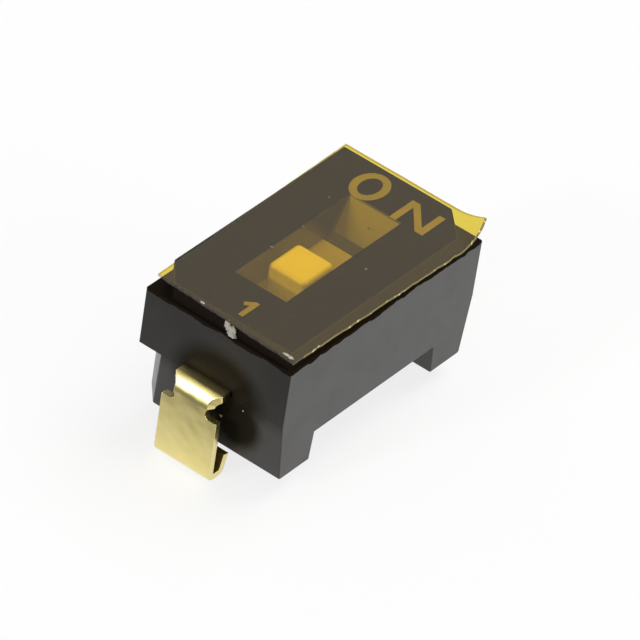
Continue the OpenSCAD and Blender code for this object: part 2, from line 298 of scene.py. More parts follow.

# The shoulder round the deck is dull and painted dark down to a wavy border, as painted shade cast by the
# overhanging film.
WAVE, WAVE_HEIGHT = 0.3, 0.16
waves = node(tree, "ShaderNodeTexNoise", Vector=where, Scale=1 / (WAVE * MM), Detail=3.0)
centred = node(tree, "ShaderNodeMath", "SUBTRACT", i0=waves.outputs["Fac"], i1=0.5)
wavy = node(tree, "ShaderNodeMath", "MULTIPLY", i0=centred, i1=WAVE_HEIGHT * MM)
wavy_z = node(tree, "ShaderNodeMath", "ADD", i0=place.outputs["Z"], i1=wavy)
under_rim = below(tree, wavy_z, RIM_Z)
shaded_rim = node(tree, "ShaderNodeMath", "SUBTRACT", {"use_clamp": True}, i0=under_deck, i1=under_rim)
off_slot = node(tree, "ShaderNodeMath", "SUBTRACT", i0=1.0, i1=in_slot)
shaded_rim = node(tree, "ShaderNodeMath", "MULTIPLY", i0=shaded_rim, i1=off_slot)

# The two end faces are told by the way they face. The feet below them are painted a little paler, as
# painted light mirrored from the white table.
FACES_END, FOOT_FULL_Z, FOOT_FADE_Z = 0.7, 1.35, 1.6
facing = node(tree, "ShaderNodeSeparateXYZ", Vector=node(tree, "ShaderNodeTexCoord").outputs["Normal"])
turned_y = node(tree, "ShaderNodeMath", "ABSOLUTE", i0=facing.outputs["Y"], i1=0.0)
lengthways = node(tree, "ShaderNodeMath", "GREATER_THAN", i0=turned_y, i1=FACES_END)
reach = node(tree, "ShaderNodeMath", "ABSOLUTE", i0=place.outputs["Y"], i1=0.0)
inboard = below(tree, reach, END_FROM_Y)
on_end = node(tree, "ShaderNodeMath", "SUBTRACT", {"use_clamp": True}, i0=lengthways, i1=inboard)
foot_fade = node(tree, "ShaderNodeMapRange", Value=place.outputs["Z"], From_Min=FOOT_FULL_Z * MM,
                 From_Max=FOOT_FADE_Z * MM, To_Min=1.0, To_Max=0.0).outputs[0]
painted_lit_foot = node(tree, "ShaderNodeMath", "MULTIPLY", i0=on_end, i1=foot_fade)

# The painted shade round the OFF terminal, with a painted brown reflection of the gold in it, is two soft
# round patches of dull brown. Each row gives a middle and half sizes, across and up.
TERMINAL_SHADE_PATCHES, TERMINAL_SHADE_FADE = ((0.15, 1.68, 1.2, 0.95), (0.6, 1.15, 0.66, 0.75)), 0.55
painted_terminal_shade = 0.0
for x, z, half_x, half_z in TERMINAL_SHADE_PATCHES:
    patch = node(tree, "ShaderNodeVectorMath", "SUBTRACT", i0=where, i1=(x * MM, 0, z * MM))
    patch = node(tree, "ShaderNodeVectorMath", "MULTIPLY", i0=patch.outputs[0],
                 i1=(1 / (half_x * MM), 0, 1 / (half_z * MM)))
    patch = node(tree, "ShaderNodeVectorMath", "LENGTH", i0=patch.outputs[0])
    patch = node(tree, "ShaderNodeMapRange", settings={"interpolation_type": "SMOOTHSTEP"},
                 Value=patch.outputs["Value"], From_Min=TERMINAL_SHADE_FADE, From_Max=1.0, To_Min=1.0, To_Max=0.0)
    painted_terminal_shade = node(tree, "ShaderNodeMath", "MAXIMUM", i0=painted_terminal_shade, i1=patch.outputs[0])
on_off_end = node(tree, "ShaderNodeMath", "MULTIPLY", i0=on_end, i1=below(tree, place.outputs["Y"], 0))
painted_terminal_shade = node(tree, "ShaderNodeMath", "MULTIPLY", i0=painted_terminal_shade, i1=on_off_end)

# Painted light: the paler slot, ramps and feet. Painted shade: the dark shoulder and the patches round the
# OFF terminal.
shades = colour
for mask, code in ((in_slot, "#302c28"), (on_ramp, "#6f695e"), (shaded_rim, "#1e1915"), (under_film, "#14100d"),
                   (painted_lit_foot, "#3a3836"), (painted_terminal_shade, "#1f1b14")):
    shades = node(tree, "ShaderNodeMixRGB", i0=mask, i1=shades, i2=rgba(code)).outputs[0]
tree.links.new(shades, body.inputs["Base Color"])

# Shine is lost on the ends, under the film, in the painted shade on the shoulder and in the painted shade
# round the OFF terminal. Glue fills the grain under the film, and the grain is smoothed in the painted
# shade on the shoulder too.
SHINE, END_ROUGHER = 0.6, 0.12
shine = SHINE
for mask, loss in ((on_end, 0.27), (under_film, 0.4), (shaded_rim, 0.6), (painted_terminal_shade, 0.3)):
    lost = node(tree, "ShaderNodeMath", "MULTIPLY", i0=mask, i1=loss)
    shine = node(tree, "ShaderNodeMath", "SUBTRACT", i0=shine, i1=lost)
shine = node(tree, "ShaderNodeMath", "MAXIMUM", i0=shine, i1=0.0)
tree.links.new(shine.outputs[0], body.inputs["Specular IOR Level"])
gloss = body.inputs["Roughness"].links[0].from_socket
rougher = node(tree, "ShaderNodeMath", "MULTIPLY", i0=on_end, i1=END_ROUGHER)
gloss = node(tree, "ShaderNodeMath", "ADD", i0=gloss, i1=rougher)
tree.links.new(gloss.outputs[0], body.inputs["Roughness"])
covered = node(tree, "ShaderNodeMath", "MAXIMUM", i0=shaded_rim, i1=under_film)
filled = node(tree, "ShaderNodeMath", "MULTIPLY", i0=covered, i1=COVERED_BUMP)
relief = body.inputs["Normal"].links[0].from_node
grain_left = node(tree, "ShaderNodeMath", "SUBTRACT", i0=PLASTIC_BUMP, i1=filled)
tree.links.new(grain_left.outputs[0], relief.inputs["Strength"])

for name, edge in (("cover", COVER_EDGE_R), ("base", BASE_EDGE_R)):
    piece = clean_copy(name + "_moulding", nodes[name], edge)
    dress(piece, housing_plastic)
    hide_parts(name)
    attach(piece, "housing")


# Terminals
# Each is stamped from copper alloy sheet, bent down outside the housing and hooked under for solder.
# The plating is thin gold over nickel. The sheet lies clamped between the cover and the base.
PAD_X = -0.06
PAD_HALF, STRIP_HALF, NECK_HALF, BLADE_HALF = 0.52, 0.37, 0.34, 0.61
WIDE_Y, BLADE_Y, BEND_R, HOOK_R = 2.95, 3.16, 0.26, 0.16
HOOK_L, TIP_H, TIP_LEAN, BLADE_TOP, SHOULDER_R = 0.45, 0.44, math.radians(14), 1.31, 0.03
OFF_PAD_Y, ON_PAD_Y, SHEAR_R = 0.25, 0.67, 0.014
BEND_Z = PART_Z + SHEET - BEND_R
NOTCH_R = (BEND_Z - BLADE_TOP) / 2
FLAT_STEPS, BEND_STEPS, NOTCH_STEPS, SHOULDER_STEPS = 8, 24, 32, 6
BLADE_STEPS, HOOK_STEPS, TAIL_STEPS, TIP_STEPS = 14, 8, 9, 3
CUT_EDGE = ((0, 1), (0.293, 0.293), (1, 0))


def half_from_above(y):
    """Half width of the flat and bent part, by its reach: wide, then tapered to the strip."""
    return min(PAD_HALF, max(STRIP_HALF, PAD_HALF - (y - WIDE_Y)))


def half_from_front(z):
    """Half width of the upright part, by its height: two notches, then the blade."""
    if z > BLADE_TOP:
        from_mid = z - BLADE_TOP - NOTCH_R
        hollow = NECK_HALF + NOTCH_R - math.sqrt(max(0, NOTCH_R ** 2 - from_mid ** 2))
        return min(STRIP_HALF, hollow) if from_mid > 0 else hollow
    drop = min(BLADE_TOP - z, SHOULDER_R)
    return BLADE_HALF - SHOULDER_R + math.sqrt(SHOULDER_R ** 2 - (SHOULDER_R - drop) ** 2)


def terminal_stations(pad_y):
    """Places along the middle of the sheet: point, direction outwards from its outer face, width rule."""
    mid, rows = PART_Z + SHEET / 2, []

    def arc(y, z, radius, first, last, steps, rule):
        for i in range(1, steps + 1):
            a = first + (last - first) * i / steps
            out_y, out_z = math.cos(a), math.sin(a)
            rows.append(((y + radius * out_y, z + radius * out_z), (out_y, out_z), rule))

    flat_end = BLADE_Y - BEND_R
    for i in range(FLAT_STEPS + 1):
        rows.append(((pad_y + (flat_end - pad_y) * i / FLAT_STEPS, mid), (0, 1), half_from_above))
    arc(flat_end, BEND_Z, BEND_R - SHEET / 2, math.pi / 2, 0, BEND_STEPS, half_from_above)
    heights = [BLADE_TOP + NOTCH_R * (1 + math.cos(math.pi * i / NOTCH_STEPS))
               for i in range(1, NOTCH_STEPS)]
    heights += [BLADE_TOP + HAIR, BLADE_TOP]
    heights += [BLADE_TOP - SHOULDER_R * (1 - math.cos(math.pi / 2 * i / SHOULDER_STEPS))
                for i in range(1, SHOULDER_STEPS + 1)]
    shoulder_z = BLADE_TOP - SHOULDER_R
    heights += [shoulder_z + (HOOK_R - shoulder_z) * i / BLADE_STEPS for i in range(1, BLADE_STEPS + 1)]
    for z in heights:
        rows.append(((BLADE_Y - SHEET / 2, z), (1, 0), half_from_front))
    blade = lambda z: BLADE_HALF
    arc(BLADE_Y - HOOK_R, HOOK_R, HOOK_R - SHEET / 2, 0, -math.pi / 2, HOOK_STEPS, blade)
    tail_y = BLADE_Y - HOOK_L + HOOK_R
    arc(tail_y, HOOK_R, HOOK_R - SHEET / 2, -math.pi / 2, TIP_LEAN - math.pi, TAIL_STEPS, blade)
    (y, z), (ny, nz), _ = rows[-1]
    length = (TIP_H - HOOK_R) / math.cos(TIP_LEAN)
    for i in range(1, TIP_STEPS + 1):
        part = length * i / TIP_STEPS
        rows.append(((y + nz * part, z - ny * part), (ny, nz), blade))
    return rows


def terminal_mesh(name, pad_y, turned):
    """Lofts the sheet's rounded section along the stations and closes both ends."""
    bm = bmesh.new()
    rings = []
    for (y, z), (ny, nz), rule in terminal_stations(pad_y):
        ring = []
        for sx, st in ((1, 1), (-1, 1), (-1, -1), (1, -1)):
            for cut_x, cut_t in CUT_EDGE[::sx * st]:
                t = st * (SHEET / 2 - SHEAR_R * cut_t)
                half = rule(y + ny * t) if rule is half_from_above else rule(z)
                ring.append(bm.verts.new((sx * (half - SHEAR_R * cut_x), y + ny * t, z + nz * t)))
        rings.append(ring)
    for one, two in zip(rings, rings[1:]):
        for i in range(len(one)):
            j = (i + 1) % len(one)
            bm.faces.new((one[i], one[j], two[j], two[i]))
    bm.faces.new(rings[0])
    bm.faces.new(rings[-1][::-1])
    if turned:
        bmesh.ops.transform(bm, matrix=Matrix.Rotation(math.pi, 4, "Z"), verts=bm.verts)
    bmesh.ops.translate(bm, vec=(PAD_X, 0, 0), verts=bm.verts)
    bmesh.ops.recalc_face_normals(bm, faces=bm.faces)
    piece = part_from(bm, name)
    piece.data.set_sharp_from_angle(angle=math.radians(50))
    piece.modifiers.new("even_normals", "WEIGHTED_NORMAL").keep_sharp = True
    return settle(piece)


def part_from(bm, name):
    """Makes an object of a bmesh, with smooth faces."""
    for face in bm.faces:
        face.smooth = True
    mesh = bpy.data.meshes.new(name)
    bm.to_mesh(mesh)
    bm.free()
    piece = bpy.data.objects.new(name, mesh)
    bpy.context.collection.objects.link(piece)
    return piece


# The gold is pale and satin, and bright where the bend mirrors the card. Soft dents break its highlights.
# Lines from the rolling mill run along the sheet. They are a few thousandths of a millimetre apart,
# and are drawn 0.025 mm apart so that they show.
ROLLING, STRETCH, STAIN, DENT, DENT_DEPTH = 0.35, (14, 1.5, 1.5), 0.5, 0.42, 0.06
gold, tree, out = blank("satin_gold_plate_on_rolled_copper_alloy")
where = node(tree, "ShaderNodeTexCoord").outputs["Object"]
stretched = node(tree, "ShaderNodeMapping", Vector=where, Scale=STRETCH).outputs[0]
rolling = node(tree, "ShaderNodeTexNoise", Vector=stretched, Scale=1 / (ROLLING * MM), Detail=4.0)
stain = node(tree, "ShaderNodeTexNoise", Vector=where, Scale=1 / (STAIN * MM), Detail=3.0)
warm = node(tree, "ShaderNodeMixRGB", i0=stain.outputs["Fac"], i1=rgba("#efe2a0"), i2=rgba("#e2d189"))
gloss = node(tree, "ShaderNodeMapRange", Value=stain.outputs["Fac"], From_Min=0.3, From_Max=0.7,
             To_Min=0.2, To_Max=0.28)
dents = node(tree, "ShaderNodeTexNoise", Vector=where, Scale=1 / (DENT * MM), Detail=1.0)
uneven = node(tree, "ShaderNodeBump", Height=dents.outputs["Fac"], Strength=0.5,
              Distance=DENT_DEPTH * MM)
lines = node(tree, "ShaderNodeBump", Height=rolling.outputs["Fac"], Strength=0.2, Distance=0.003 * MM,
             Normal=uneven.outputs[0])

# Inside the hook the gold is painted dull brown as painted shade, and is rougher.
# At the OFF end the sheet beside the plastic is painted dark brown, as painted shade and a painted
# reflection of the dark end face.
HOOK_DULL, ROOT_Y, ROOT_FADE_Y, ROOT_SHADE = 0.35, 2.7, 2.89, 0.75
place = node(tree, "ShaderNodeSeparateXYZ", Vector=where)
reach = node(tree, "ShaderNodeMath", "ABSOLUTE", i0=place.outputs["Y"], i1=0.0)
from_pad = node(tree, "ShaderNodeMath", "SUBTRACT", i0=place.outputs["X"], i1=PAD_X * MM)
from_middle = node(tree, "ShaderNodeMath", "ABSOLUTE", i0=from_pad, i1=0.0)
under_tip = below(tree, place.outputs["Z"], TIP_H + 0.01)
behind_blade = below(tree, reach, BLADE_Y - SHEET + 0.005)
clear_of_edges = below(tree, from_middle, BLADE_HALF - 0.5 * SHEAR_R)
in_hook = node(tree, "ShaderNodeMath", "MULTIPLY", i0=under_tip, i1=behind_blade)
in_hook = node(tree, "ShaderNodeMath", "MULTIPLY", i0=in_hook, i1=clear_of_edges)
shaded_gold = node(tree, "ShaderNodeMixRGB", i0=in_hook, i1=warm.outputs[0], i2=rgba("#7d6a35"))
root = node(tree, "ShaderNodeMapRange", settings={"interpolation_type": "SMOOTHSTEP"}, Value=reach,
            From_Min=ROOT_Y * MM, From_Max=ROOT_FADE_Y * MM, To_Min=ROOT_SHADE, To_Max=0.0).outputs[0]
on_blade, at_off_end = below(tree, place.outputs["Z"], BLADE_TOP), below(tree, place.outputs["Y"], 0)
root = node(tree, "ShaderNodeMath", "SUBTRACT", {"use_clamp": True}, i0=root, i1=on_blade)
root = node(tree, "ShaderNodeMath", "MULTIPLY", i0=root, i1=at_off_end)
shaded_gold = node(tree, "ShaderNodeMixRGB", i0=root, i1=shaded_gold.outputs[0], i2=rgba("#2c2312"))
duller = node(tree, "ShaderNodeMath", "MULTIPLY", i0=in_hook, i1=HOOK_DULL)
dull = node(tree, "ShaderNodeMath", "ADD", i0=gloss.outputs[0], i1=duller)
metal = node(tree, "ShaderNodeBsdfPrincipled", Base_Color=shaded_gold.outputs[0], Metallic=1.0,
             Roughness=dull, Normal=lines.outputs[0])
tree.links.new(metal.outputs[0], out.inputs["Surface"])

for name, pad_y, turned in (("terminal_off", OFF_PAD_Y, True), ("terminal_on", ON_PAD_Y, False)):
    piece = terminal_mesh(name + "_sheet", pad_y, turned)
    dress(piece, gold)
    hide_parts(name)
    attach(piece, "housing")
dress(nodes["moving_contact"], gold)


# Slider
# One small moulding in ivory liquid crystal polymer: a soft-edged knob on a plate with two skirts.
# It lies loose between the guide rails and carries the contact spring on a stud.
REST_Y, PLATE_TOP, PLATE_T, PLATE_L, SLIDER_W, SKIRT_T, SKIRT_Z = -0.46, 2.5, 0.3, 2.92, 1.9, 0.18, 1.66
KNOB_W, KNOB_L, KNOB_TOP, KNOB_R = 0.82, 0.86, 3.09, 0.1
STUD_R, STUD_Z, MOULD_R, SUNK, SHY = 0.14, 2.07, 0.02, 0.1, 0.002


def rounded_block(name, width, length, low_z, high_z, radius, segments, x=0.0):
    """A block round the slider's middle, with every edge rounded."""
    bm = bmesh.new()
    size = Matrix.Diagonal((width, length, high_z - low_z, 1))
    middle = Matrix.Translation((x, REST_Y, (high_z + low_z) / 2))
    bmesh.ops.create_cube(bm, size=1, matrix=middle @ size)
    bmesh.ops.bevel(bm, geom=list(bm.edges), offset=radius, segments=segments, profile=0.5,
                    affect="EDGES")
    return part_from(bm, name)


slider = rounded_block("slider_moulding", SLIDER_W, PLATE_L, PLATE_TOP - PLATE_T, PLATE_TOP, MOULD_R, 2)
others = [rounded_block("knob", KNOB_W, KNOB_L, PLATE_TOP - SUNK - KNOB_R, KNOB_TOP, KNOB_R, 6)]
sunk_z = PLATE_TOP - SUNK
for side in (-1, 1):
    others.append(rounded_block("skirt", SKIRT_T - SHY, PLATE_L - SHY, SKIRT_Z, sunk_z, MOULD_R, 2,
                                x=side * (SLIDER_W - SKIRT_T) / 2))
bm = bmesh.new()
bmesh.ops.create_cone(bm, cap_ends=True, segments=32, radius1=STUD_R, radius2=STUD_R,
                      depth=sunk_z - STUD_Z,
                      matrix=Matrix.Translation((0, REST_Y, (sunk_z + STUD_Z) / 2)))
others.append(part_from(bm, "stud"))
for other in others:
    join = slider.modifiers.new("join", "BOOLEAN")
    join.operation, join.solver, join.object = "UNION", "EXACT", other
slider.modifiers.new("even_normals", "WEIGHTED_NORMAL")
slider = settle(slider)
for other in others:
    bpy.data.objects.remove(other)
slider.data.set_sharp_from_angle(angle=math.radians(40))

# The polymer is a warm ivory, matt with a fine grain. Down in the slot the plate is painted greyer, as
# painted shade.
ivory, tree, body, where, colour = textured("ivory_liquid_crystal_polymer_moulded", "#fbf5e6", "#f7efdb",
                                             roughness=0.42, spread=0.05, grain=0.04, bump=0.2)
height = node(tree, "ShaderNodeSeparateXYZ", Vector=where).outputs["Z"]
shaded_plate = node(tree, "ShaderNodeMixRGB", i0=below(tree, height, PLATE_TOP + 0.02), i1=colour,
              i2=rgba("#bfb69f"))
tree.links.new(shaded_plate.outputs[0], body.inputs["Base Color"])
dress(slider, ivory)
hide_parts("slider")
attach(slider, "slider")


# Lettering
# White ink is pad printed on the deck before the film goes on: the word at one end, a number at the other.
# The strokes are even, with square corners, and the ink lies a few thousandths of a millimetre thick.
INK_T, INK_LIFT = 0.006, 0.001
O_MIDDLE, O_W, O_L, O_STROKE, O_STEPS = (-0.454, 2.024), 0.68, 0.87, 0.15, 72
N_X, N_Y, N_W, N_L, N_LEG, N_SLANT = 0.3, 1.61, 0.73, 0.68, 0.135, 0.17
ONE_X, ONE_Y = 0.2, -2.48
ONE_OUTLINE = ((0, 0), (0.1, 0), (0.1, 0.48), (0.02, 0.48), (-0.14, 0.34), (-0.09, 0.26), (0, 0.33))


def prism(bm, outline):
    """Adds a thin slab over an outline given in millimetres, on the deck."""
    low, high = ([bm.verts.new((x, y, DECK_Z + INK_LIFT + t)) for x, y in outline] for t in (0, INK_T))
    bm.faces.new(high)
    bm.faces.new(low[::-1])
    for i in range(len(outline)):
        j = (i + 1) % len(outline)
        bm.faces.new((low[i], low[j], high[j], high[i]))


bm = bmesh.new()
ring = []
for k in range(O_STEPS):
    a = 2 * math.pi * k / O_STEPS
    ring.append([bm.verts.new((O_MIDDLE[0] + (O_W / 2 - inset) * math.cos(a),
                               O_MIDDLE[1] + (O_L / 2 - inset) * math.sin(a), DECK_Z + INK_LIFT + t))
                 for inset, t in ((0, 0), (0, INK_T), (O_STROKE, INK_T), (O_STROKE, 0))])
for one, two in zip(ring, ring[1:] + ring[:1]):
    for i in range(4):
        j = (i + 1) % 4
        bm.faces.new((one[i], two[i], two[j], one[j]))
drop = N_LEG * N_L / (N_W - N_SLANT)
prism(bm, [(N_X + x, N_Y + y) for x, y in (
    (0, 0), (N_LEG, 0), (N_LEG, N_L - drop), (N_W - N_SLANT, 0), (N_W, 0),
    (N_W, N_L), (N_W - N_LEG, N_L), (N_W - N_LEG, drop), (N_SLANT, N_L), (0, N_L))])
prism(bm, [(ONE_X + x, ONE_Y + y) for x, y in ONE_OUTLINE])
bmesh.ops.recalc_face_normals(bm, faces=bm.faces)
lettering = part_from(bm, "printed_lettering")
lettering.data.set_sharp_from_angle(angle=math.radians(40))
lettering.data.transform(Matrix.Scale(MM, 4))

# The ink is a thin coat of white through which the black shows, so it reads as a matt warm grey.
ink = textured("grey_white_pad_printed_ink", "#9f9c94", "#8b8880", roughness=0.55, spread=0.05,
               grain=0.02, bump=0.3)[0]
dress(lettering, ink)
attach(lettering, "housing")


# Seal film
# A strip of amber polyimide film, 0.06 mm with its glue, is stuck over the slot to keep flux out.
# It hangs over the deck's edges, torn a little ragged in front and on the right, and cut clean elsewhere.
# One corner has come loose and curls up.
FILM_T, FILM_Z = 0.05, DECK_Z + 0.009
FILM_TOP = FILM_Z + FILM_T
FRONT_LEFT, FRONT_RIGHT, BACK_LEFT = (-1.4, -2.715), (1.725, -2.88), (-1.485, 2.635)
FOLD_SUM, RIGHT_ON, BACK_Y, TIP = 3.54, 1.828, 2.635, (1.76, 2.565)
CURL, CURL_L = math.radians(62), 0.56
CURL_R = CURL_L / CURL
ACROSS, ALONG = 90, 150
RIGHT_TEAR, LEFT_TEAR, BACK_TEAR, FRONT_TEAR = (3.0, 0.02), (9.0, 0.01), (15.0, 0.01), (21.0, 0.035)
SIDE_BAND, END_BAND = 12, 20


def ragged(along, seed, size):
    """A torn edge: small waves with a few deeper nicks, always inwards and the same on each run."""
    wave = noise.noise(Vector((along * 3.1, seed, 0.3))) * 0.5
    wave += noise.noise(Vector((along * 13, seed, 1.7))) * 0.35
    nick = max(0.0, noise.noise(Vector((along * 7, seed, 5.2))) - 0.25) * 1.6
    return -size * (max(0.0, wave + 0.35) + nick)


def film_point(u, v):
    """Place of the film before its corner curls, from left to right and from front to back."""
    left_x = FRONT_LEFT[0] + (BACK_LEFT[0] - FRONT_LEFT[0]) * v
    turn = (FOLD_SUM - RIGHT_ON - FRONT_RIGHT[1]) / (TIP[1] - FRONT_RIGHT[1])
    if v < turn:
        right_x = FRONT_RIGHT[0] + (RIGHT_ON - FRONT_RIGHT[0]) * v / turn
    else:
        right_x = RIGHT_ON + (TIP[0] - RIGHT_ON) * (v - turn) / (1 - turn)
    turn = (FOLD_SUM - BACK_Y - BACK_LEFT[0]) / (TIP[0] - BACK_LEFT[0])
    back_y = BACK_Y if u < turn else BACK_Y + (TIP[1] - BACK_Y) * (u - turn) / (1 - turn)
    front_y = FRONT_LEFT[1] + (FRONT_RIGHT[1] - FRONT_LEFT[1]) * u
    x = left_x + (right_x - left_x) * u
    y = front_y + (back_y - front_y) * v
    x += ragged(y, *RIGHT_TEAR) * max(0, 1 - (1 - u) * SIDE_BAND)
    x -= ragged(y, *LEFT_TEAR) * max(0, 1 - u * SIDE_BAND)
    inwards = ragged(x, *BACK_TEAR) * max(0, 1 - (1 - v) * END_BAND)
    inwards -= ragged(x, *FRONT_TEAR) * max(0, 1 - v * END_BAND)
    return x, y + inwards


def curled(x, y, lift):
    """Rolls what lies past the fold up on a cylinder. The lift is the height above the lower face."""
    past = (x + y - FOLD_SUM) / math.sqrt(2)
    if past <= 0:
        return x, y, FILM_Z + lift
    turn = past / CURL_R
    radius = CURL_R + FILM_T - lift
    shift = (radius * math.sin(turn) - past) / math.sqrt(2)
    return x + shift, y + shift, FILM_Z + FILM_T + CURL_R - radius * math.cos(turn)


bm = bmesh.new()
layers = []
for lift in (FILM_T, 0):
    layers.append([[bm.verts.new(curled(*film_point(i / ACROSS, j / ALONG), lift))
                    for i in range(ACROSS + 1)] for j in range(ALONG + 1)])
top, bottom = layers
for j in range(ALONG):
    for i in range(ACROSS):
        bm.faces.new((top[j][i], top[j][i + 1], top[j + 1][i + 1], top[j + 1][i]))
        under = bm.faces.new((bottom[j][i], bottom[j + 1][i], bottom[j + 1][i + 1], bottom[j][i + 1]))
        under.material_index = 1
border = [(0, i) for i in range(ACROSS)] + [(j, ACROSS) for j in range(ALONG)]
border += [(ALONG, i) for i in range(ACROSS, 0, -1)] + [(j, 0) for j in range(ALONG, 0, -1)]
for (j, i), (m, n) in zip(border, border[1:] + border[:1]):
    bm.faces.new((top[j][i], bottom[j][i], bottom[m][n], top[m][n])).material_index = 2
bmesh.ops.recalc_face_normals(bm, faces=bm.faces)
film = part_from(bm, "amber_film")
film.data.set_sharp_from_angle(angle=math.radians(40))
film.data.transform(Matrix.Scale(MM, 4))

# The film is clear amber. What lies under it turns golden, and a faint ripple shows in its sheen.
RIPPLE, RIPPLE_DEPTH, HEAD_ON_SHEEN, GRAZING_SHEEN = 0.9, 0.02, 0.036, 0.9
film_top, tree, out = blank("amber_polyimide_film")
where = node(tree, "ShaderNodeTexCoord").outputs["Object"]
ripple = node(tree, "ShaderNodeTexNoise", Vector=where, Scale=1 / (RIPPLE * MM), Detail=2.0)
relief = node(tree, "ShaderNodeBump", Height=ripple.outputs["Fac"], Strength=0.15,
              Distance=RIPPLE_DEPTH * MM)
clear = node(tree, "ShaderNodeBsdfTransparent", Color=rgba("#f0d845"))
mirror = node(tree, "ShaderNodeBsdfGlossy", Color=rgba("#ffffff"), Roughness=0.3,
              Normal=relief.outputs[0])
facing = node(tree, "ShaderNodeLayerWeight", Blend=0.5).outputs["Facing"]
steep = node(tree, "ShaderNodeMath", "POWER", i0=facing, i1=5.0)
amount = node(tree, "ShaderNodeMapRange", Value=steep, To_Min=HEAD_ON_SHEEN, To_Max=GRAZING_SHEEN)
glossy = node(tree, "ShaderNodeMixShader", i0=amount, i1=clear, i2=mirror)
tree.links.new(glossy.outputs[0], out.inputs["Surface"])

# The glue is clear where it wets the deck. Over the slot it is hazy, so what lies in there looks milky,
# with a clearer patch behind the knob. Past the deck's edges and corners it has caught dust and is greyish.
DECK_MASK_X, DECK_MASK_Y, CORNER_X, CORNER_Y = 1.5, 2.62, 0.42, 0.5
SLOT_HAZE, DUSTY_HAZE, CLEARED = 0.1, 0.06, 0.6
CLEAR_FROM_Y, CLEAR_FULL_Y, CLEAR_LEAN, CLEAR_FULL_X, CLEAR_END_X = 0.15, 0.6, 0.42, 0.04, 0.16
film_glue, tree, out = blank("silicone_glue_under_film")
where = node(tree, "ShaderNodeTexCoord").outputs["Object"]
place = node(tree, "ShaderNodeSeparateXYZ", Vector=where)
x, y = place.outputs["X"], place.outputs["Y"]
across = node(tree, "ShaderNodeMath", "ADD", i0=x, i1=y)
off_right = node(tree, "ShaderNodeMath", "GREATER_THAN", i0=across, i1=FOLD_SUM * MM)
corner_x = node(tree, "ShaderNodeMath", "DIVIDE", i0=x, i1=CORNER_X)
corner_y = node(tree, "ShaderNodeMath", "DIVIDE", i0=y, i1=CORNER_Y)
corner = node(tree, "ShaderNodeMath", "ADD", i0=corner_x, i1=corner_y)
off_left = below(tree, corner, -DECK_MASK_X / CORNER_X - (DECK_MASK_Y - CORNER_Y) / CORNER_Y)
on_deck = within(tree, place, DECK_MASK_X, DECK_MASK_Y)
off_deck = node(tree, "ShaderNodeMath", "SUBTRACT", i0=1.0, i1=on_deck)
corners = node(tree, "ShaderNodeMath", "MAXIMUM", i0=off_right, i1=off_left)
bare = node(tree, "ShaderNodeMath", "MAXIMUM", i0=off_deck, i1=corners)
dusty = node(tree, "ShaderNodeMixRGB", i0=bare, i1=rgba("#ffffff"), i2=rgba("#efefec"))
clear = node(tree, "ShaderNodeBsdfTransparent", Color=dusty.outputs[0])
haze = node(tree, "ShaderNodeBsdfDiffuse", Color=rgba("#f3f3f1"))
slot = within(tree, place, SLOT_HALF_X, SLOT_HALF_Y)
over_slot = node(tree, "ShaderNodeMath", "MULTIPLY", i0=slot, i1=SLOT_HAZE)
behind_knob = node(tree, "ShaderNodeMapRange", Value=y, From_Min=CLEAR_FROM_Y * MM,
                   From_Max=CLEAR_FULL_Y * MM).outputs[0]
leaning = node(tree, "ShaderNodeMath", "MULTIPLY", i0=y, i1=CLEAR_LEAN)
slanted = node(tree, "ShaderNodeMath", "ADD", i0=x, i1=leaning)
leftwards = node(tree, "ShaderNodeMapRange", Value=slanted, From_Min=CLEAR_FULL_X * MM,
                 From_Max=CLEAR_END_X * MM, To_Min=1.0, To_Max=0.0).outputs[0]
cleared = node(tree, "ShaderNodeMath", "MULTIPLY", i0=behind_knob, i1=leftwards)
cleared = node(tree, "ShaderNodeMath", "MULTIPLY", i0=cleared, i1=CLEARED)
still_hazy = node(tree, "ShaderNodeMath", "SUBTRACT", i0=1.0, i1=cleared)
over_slot = node(tree, "ShaderNodeMath", "MULTIPLY", i0=over_slot, i1=still_hazy)
dust_haze = node(tree, "ShaderNodeMath", "MULTIPLY", i0=bare, i1=DUSTY_HAZE)
haziness = node(tree, "ShaderNodeMath", "MAXIMUM", i0=dust_haze, i1=over_slot)
hazy = node(tree, "ShaderNodeMixShader", i0=haziness, i1=clear, i2=haze)
tree.links.new(hazy.outputs[0], out.inputs["Surface"])

# The torn edge is rough olive with painted glints of bright yellow, and darker in front.
# Where the strip was cut clean, at the back and on the left, light passes through the edge.
GLINT, FRONT_EDGE_Y, CUT_BACK_Y, CUT_LEFT_X, EDGE_CLEAR = 0.09, -2.6, 2.5, -1.3, 0.85
film_edge, tree, body, where, colour = textured(
    "torn_edge_of_amber_film", "#6d5f25", "#8d7d35", roughness=0.5, spread=0.1, grain=0.03, bump=0.5)
painted_glints = node(tree, "ShaderNodeTexNoise", Vector=where, Scale=1 / (GLINT * MM), Detail=2.0)
bright = node(tree, "ShaderNodeMapRange", Value=painted_glints.outputs["Fac"], From_Min=0.59, From_Max=0.65)
lit = node(tree, "ShaderNodeMixRGB", i0=bright.outputs[0], i1=colour, i2=rgba("#efe59d"))
place = node(tree, "ShaderNodeSeparateXYZ", Vector=where)
in_front = below(tree, place.outputs["Y"], FRONT_EDGE_Y)
lit = node(tree, "ShaderNodeMixRGB", i0=in_front, i1=lit.outputs[0], i2=rgba("#3a332a"))
tree.links.new(lit.outputs[0], body.inputs["Base Color"])
before_back = below(tree, place.outputs["Y"], CUT_BACK_Y)
at_left = below(tree, place.outputs["X"], CUT_LEFT_X)
clean_cut = node(tree, "ShaderNodeMath", "SUBTRACT", i0=1.0, i1=before_back)
clean_cut = node(tree, "ShaderNodeMath", "MAXIMUM", i0=clean_cut, i1=at_left)
amber = node(tree, "ShaderNodeBsdfTransparent", Color=rgba("#dad4c4"))
